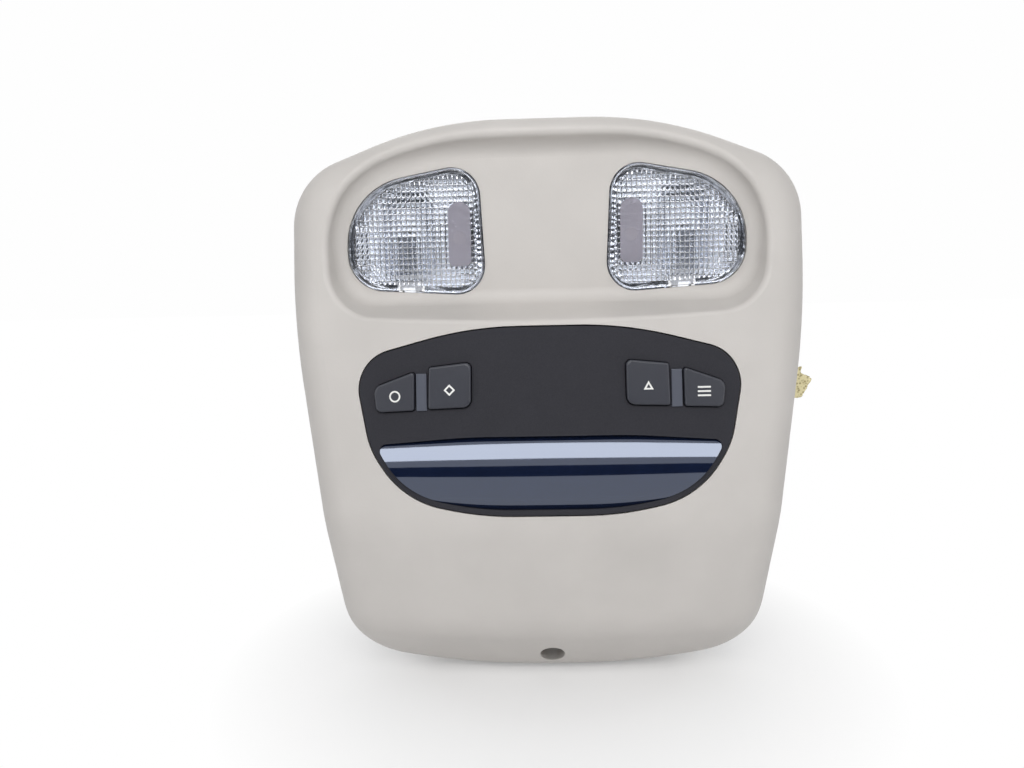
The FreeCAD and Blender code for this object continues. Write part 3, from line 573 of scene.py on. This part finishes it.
class LIGHT_OT_display(bpy.types.Operator):
    """Finish the button panel, the window and what lies behind them"""

    bl_idname = "interior_light.display"
    bl_label = "Trip display"

    def execute(self, context):
        sizes = context.scene.light_display
        # Textured ABS in charcoal: fine grain, broad dull highlights.
        panel = moulded("charcoal_abs", sizes.panel, 0.75, 0.5 * MM, 0.04 * MM, Specular_IOR_Level=0.3)
        paint(panel, "button_panel")
        # The same plastic on the buttons, rubbed a little smoother by fingers.
        rubbed = moulded("rubbed_charcoal_abs", sizes.button, 0.38, 0.5 * MM, 0.03 * MM)
        for word in ("units", "reset", "step", "menu"):
            cap = smooth_copy(f"{word}_button")
            finish_piece(cap, f"{word}_button_cap", rubbed, f"{word}_button_body")
            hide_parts(f"{word}_button")
        # Epoxy and glass laminate under green lacquer: slightly shiny, with a fine weave.
        paint(moulded("green_lacquered_laminate", "#2F5E3A", 0.4, 0.4 * MM, 0.02 * MM), "circuit_board")
        # The display tube's glass: dark, smooth, with a grey haze inside.
        tube = moulded("grey_tube_glass", "#3A4446", 0.1, 3.0 * MM, 0.005 * MM, Coat_Weight=0.5)
        paint(tube, "display_tube")
        window = welded_copy("display_window")
        self.barrel_shading(window)
        finish_piece(window, "tinted_window", self.tinted_acrylic(sizes), "console")
        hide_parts("display_window")
        # Smooth charcoal ABS between each pair of buttons: lighter than the panel round it.
        bridge = moulded("smooth_charcoal_abs", sizes.bridge, 0.42, 0.5 * MM, 0.02 * MM)
        for side, word in SIDES:
            self.bridge_bar(context, bridge, side, word)
        # Painted shade: a black, dull strip of moulded rubber with a dry bloom, standing in for the shade
        # in the gap round the panel.
        self.gap_shade_strip(moulded("black_gap_shade_rubber", "#161618", 0.8, 0.6 * MM, 0.03 * MM))
        return {"FINISHED"}

    def gap_shade_strip(self, gap_shade_rubber):
        """A black strip round the panel's skirt, behind the shell: painted shade that keeps the gap round
        the panel dark.
        """
        face = on_face(0.0, 0.0, 0.0)
        strip = welded_copy("button_panel")
        inward = face.inverted()
        edit_faces(strip, lambda part: (inward @ part.center).z > 0.1 * MM - PANEL_SKIRT)
        bpy.ops.mesh.delete(type="FACE")
        bpy.ops.mesh.select_all(action="SELECT")
        bpy.ops.mesh.region_to_loop()
        bpy.ops.mesh.select_all(action="INVERT")
        bpy.ops.mesh.delete(type="EDGE")
        bpy.ops.mesh.select_mode(type="VERT")
        bpy.ops.mesh.select_all(action="DESELECT")
        leave()
        max(strip.data.vertices, key=lambda vertex: vertex.co.x).select = True
        bpy.ops.object.mode_set(mode="EDIT")
        bpy.ops.mesh.select_linked()
        bpy.ops.mesh.select_all(action="INVERT")
        bpy.ops.mesh.delete(type="VERT")
        bpy.ops.mesh.select_all(action="SELECT")
        rise = face.to_3x3() @ Vector((0.0, 0.0, SHADE_STRIP_WIDE))
        bpy.ops.mesh.extrude_region_move(TRANSFORM_OT_translate={"value": rise})
        bpy.ops.mesh.select_all(action="SELECT")
        bpy.ops.mesh.normals_make_consistent(inside=False)
        leave()
        if not strip.data.polygons:
            raise RuntimeError("the gasket found no skirt")
        apply_modifier(strip, "SOLIDIFY", thickness=SHADE_STRIP_THICK, offset=1.0, use_even_offset=True)
        finish_piece(strip, "panel_gap_shade_strip", gap_shade_rubber, "console")

    def barrel_shading(self, window):
        """Shade the window as a clean barrel, so that the bands it mirrors run level."""
        bpy.ops.mesh.primitive_cylinder_add(
            vertices=128, radius=BARREL_RADIUS, depth=160.0 * MM, end_fill_type="NOTHING",
            location=BARREL_MIDDLE, rotation=(0.0, math.radians(90), 0.0),
        )
        barrel = bpy.context.active_object
        bpy.ops.object.shade_smooth()
        activate(window)
        bpy.ops.object.shade_smooth()
        apply_modifier(
            window, "DATA_TRANSFER", object=barrel, use_loop_data=True, data_types_loops={"CUSTOM_NORMAL"},
            loop_mapping="POLYINTERP_NEAREST",
        )
        bpy.data.objects.remove(barrel)

    def tinted_acrylic(self, sizes):
        """Dark tinted acrylic with a hard gloss coat: mirrors the room in bands along its barrel."""
        material, tree, shader, spot = new_finish("tinted_acrylic", IOR=1.49, Coat_Weight=1.0)
        shader.inputs["Specular IOR Level"].default_value = 1.0
        shader.inputs["Specular Tint"].default_value = linear("#CFDFFF")
        mottle(tree, shader, spot, sizes.window, 12.0 * MM, 0.1)
        roughen(tree, shader, spot, 9.0 * MM, 0.02 * MM, 0.07, 0.02)
        return material

    def bridge_bar(self, context, material, side, word):
        """A low bar with soft edges between two buttons."""
        bpy.ops.mesh.primitive_cube_add(size=1.0)
        bar = context.active_object
        bar.scale = BAR_SIZE
        activate(bar)
        bpy.ops.object.transform_apply(location=False, rotation=False, scale=True)
        edit(bar)
        bpy.ops.mesh.bevel(offset=0.3 * MM, segments=2, affect="EDGES")
        leave()
        bar.matrix_world = on_face(BAR_PLACE[0] * side, *BAR_PLACE[1:])
        finish_piece(bar, f"{word}_bridge_bar", material, "console")


class LIGHT_OT_legends(bpy.types.Operator):
    """Print a plain white sign on each button"""

    bl_idname = "interior_light.legends"
    bl_label = "Button signs"

    def execute(self, context):
        # Pad-printed white ink: flat, dull, a little uneven.
        ink = moulded("white_pad_printed_ink", "#E9E9E6", 0.6, 0.4 * MM, 0.01 * MM)
        self.bars(context, ink, "menu")
        for word in RING_SIDES:
            self.ring(context, ink, word)
        return {"FINISHED"}

    def print_sign(self, sign, ink, word):
        """Lay a sign on its button."""
        sign.matrix_world = on_face(*SIGN_SPOTS[word], BUTTON_PROUD)
        finish_piece(sign, f"{word}_sign", ink, f"{word}_button_body")

    def bars(self, context, ink, word):
        """Three level bars, one above the other."""
        sizes = context.scene.light_display
        pitch = sizes.legend * 0.36
        bpy.ops.mesh.primitive_cube_add(size=1.0)
        sign = context.active_object
        sign.scale = (sizes.legend * 1.15, sizes.legend * 0.15, sizes.ink)
        activate(sign)
        bpy.ops.object.transform_apply(location=False, rotation=False, scale=True)
        apply_modifier(
            sign, "ARRAY", count=3, use_relative_offset=False, use_constant_offset=True,
            constant_offset_displace=(0.0, pitch, 0.0),
        )
        edit(sign)
        bpy.ops.transform.translate(value=(0.0, -pitch, 0.0))
        leave()
        self.print_sign(sign, ink, word)

    def ring(self, context, ink, word):
        """A flat ring with the sides that its word has."""
        sizes = context.scene.light_display
        size = sizes.legend
        bpy.ops.mesh.primitive_circle_add(vertices=RING_SIDES[word], radius=size / 2, fill_type="NGON")
        sign = context.active_object
        edit(sign)
        bpy.ops.mesh.inset(thickness=size * 0.14)
        bpy.ops.mesh.delete(type="FACE")
        leave()
        apply_modifier(sign, "SOLIDIFY", thickness=sizes.ink, offset=0.0)
        self.print_sign(sign, ink, word)


class LIGHT_OT_stage(bpy.types.Operator):
    """Floor, light and the photograph's camera"""

    bl_idname = "interior_light.stage"
    bl_label = "Stage"

    def execute(self, context):
        sizes = context.scene.light_stage
        self.floor(context)
        self.dark_card(context)
        for name, spot, size, setting, share in LAMPS:
            self.light(name, spot, size, getattr(sizes, setting) * share)
        self.room(context, sizes)
        self.camera(context, sizes)
        context.scene.view_settings.view_transform = "Standard"
        return {"FINISHED"}

    def seen(self, tree):
        """1 where the eye, a mirror or a lens looks at the background."""
        path = add_node(tree, "ShaderNodeLightPath")
        shiny = add_node(
            tree, "ShaderNodeMath",
            {0: path.outputs["Is Glossy Ray"], 1: path.outputs["Is Transmission Ray"]}, operation="MAXIMUM",
        )
        return add_node(
            tree, "ShaderNodeMath", {0: path.outputs["Is Camera Ray"], 1: shiny}, operation="MAXIMUM"
        )

    def floor(self, context):
        """A pale floor that fades to plain white away from the object and keeps its shadow near it."""
        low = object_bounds()[0]
        bpy.ops.mesh.primitive_plane_add(size=6.0, location=(0, 0, low[2] - 0.2 * MM))
        floor = context.active_object
        floor.name = "floor"
        material, tree, shader, spot = new_finish("pale_floor", Roughness=0.8)
        shader.inputs["Base Color"].default_value = linear("#F6F6F6")
        white = add_node(tree, "ShaderNodeEmission", {"Color": linear("#FFFFFF"), "Strength": 1.0})
        reach = add_node(tree, "ShaderNodeVectorMath", {0: spot}, operation="LENGTH")
        fade = add_node(
            tree, "ShaderNodeMapRange",
            {
                "Value": reach.outputs["Value"], "From Min": SHADOW_NEAR, "From Max": SHADOW_FAR,
                "To Min": 0.25, "To Max": 1.0,
            },
        )
        share = add_node(tree, "ShaderNodeMath", {0: self.seen(tree), 1: fade}, operation="MULTIPLY")
        mix = add_node(tree, "ShaderNodeMixShader", {0: share, 1: shader, 2: white})
        tree.links.new(mix.outputs[0], tree.nodes["Material Output"].inputs["Surface"])
        floor.data.materials.append(material)
        floor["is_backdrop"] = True

    def dark_card(self, context):
        """A grey card behind the camera, never seen itself: something dark for gloss and glass to show."""
        upright = (math.radians(90), 0.0, 0.0)
        bpy.ops.mesh.primitive_plane_add(size=1.0, location=CARD_MIDDLE, rotation=upright)
        card = context.active_object
        card.name = "dark_card"
        card.scale = CARD_SIZE
        card.visible_camera = False
        card.data.materials.append(moulded("grey_card", "#3A3A3E", 0.8, 1.0 * MM, 0.01 * MM))
        card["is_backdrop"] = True

    def room(self, context, sizes):
        """A plain pale room: soft light all round, seen as white."""
        world = bpy.data.worlds.new("studio")
        context.scene.world = world
        world.use_nodes = True
        tree = world.node_tree
        soft = tree.nodes["Background"]
        soft.inputs["Color"].default_value = linear("#F2F3F6")
        soft.inputs["Strength"].default_value = sizes.room
        white = add_node(tree, "ShaderNodeBackground", {"Color": linear("#FEFEFE"), "Strength": 1.0})
        mix = add_node(tree, "ShaderNodeMixShader", {0: self.seen(tree), 1: soft, 2: white})
        tree.links.new(mix.outputs[0], tree.nodes["World Output"].inputs["Surface"])

    def light(self, name, spot, size, power):
        """A rectangular lamp that looks at the middle of the object."""
        bpy.ops.object.light_add(type="AREA", location=spot)
        lamp = bpy.context.active_object
        lamp.name = name
        lamp.data.shape = "RECTANGLE"
        lamp.data.size, lamp.data.size_y = size
        lamp.data.energy = power
        lamp.rotation_euler = (AIM_POINT - Vector(spot)).to_track_quat("-Z", "Y").to_euler()

    def camera(self, context, sizes):
        """The aim point of the photograph lands on its own pixel."""
        rise, side, roll = (math.radians(v) for v in (sizes.elevation, sizes.azimuth, sizes.roll))
        ahead = -Vector((math.sin(side) * math.cos(rise), -math.cos(side) * math.cos(rise), math.sin(rise)))
        right = ahead.cross(Vector((0, 0, 1))).normalized()
        up = right.cross(ahead)
        right, up = (
            right * math.cos(roll) - up * math.sin(roll),
            right * math.sin(roll) + up * math.cos(roll),
        )
        ray = right * ((AIM_PIXEL[0] - PHOTO_CENTRE[0]) / PHOTO_FOCAL)
        ray = ray - up * ((AIM_PIXEL[1] - PHOTO_CENTRE[1]) / PHOTO_FOCAL) + ahead
        bpy.ops.object.camera_add()
        camera = context.active_object
        turn = Matrix((right, up, -ahead)).transposed().to_4x4()
        camera.matrix_world = Matrix.Translation(AIM_POINT - ray * sizes.distance) @ turn
        camera.data.sensor_width = SENSOR
        camera.data.lens = PHOTO_FOCAL / PHOTO_WIDTH * SENSOR
        camera.data.clip_start = 0.01
        context.scene.camera = camera


class LIGHT_PT_panel(bpy.types.Panel):
    """The steps in order"""

    bl_idname = "LIGHT_PT_panel"
    bl_label = "Interior light"
    bl_space_type = "VIEW_3D"
    bl_region_type = "UI"
    bl_category = "Interior light"

    def draw(self, context):
        for step in STEPS:
            self.layout.operator(step.bl_idname)


GROUPS = {
    "light_shell": ShellSettings,
    "light_lamp": LampSettings,
    "light_display": DisplaySettings,
    "light_stage": StageSettings,
}
STEPS = (LIGHT_OT_shell, LIGHT_OT_lamps, LIGHT_OT_display, LIGHT_OT_legends, LIGHT_OT_stage)


def register():
    for item in (*GROUPS.values(), *STEPS, LIGHT_PT_panel):
        bpy.utils.register_class(item)
    for name, group in GROUPS.items():
        setattr(bpy.types.Scene, name, bpy.props.PointerProperty(type=group))


def unregister():
    for name in GROUPS:
        delattr(bpy.types.Scene, name)
    for item in (LIGHT_PT_panel, *reversed(STEPS), *reversed(list(GROUPS.values()))):
        bpy.utils.unregister_class(item)


def main():
    register()
    bpy.ops.interior_light.shell()
    bpy.ops.interior_light.lamps()
    bpy.ops.interior_light.display()
    bpy.ops.interior_light.legends()
    bpy.ops.interior_light.stage()


if __name__ == "__main__":
    main()
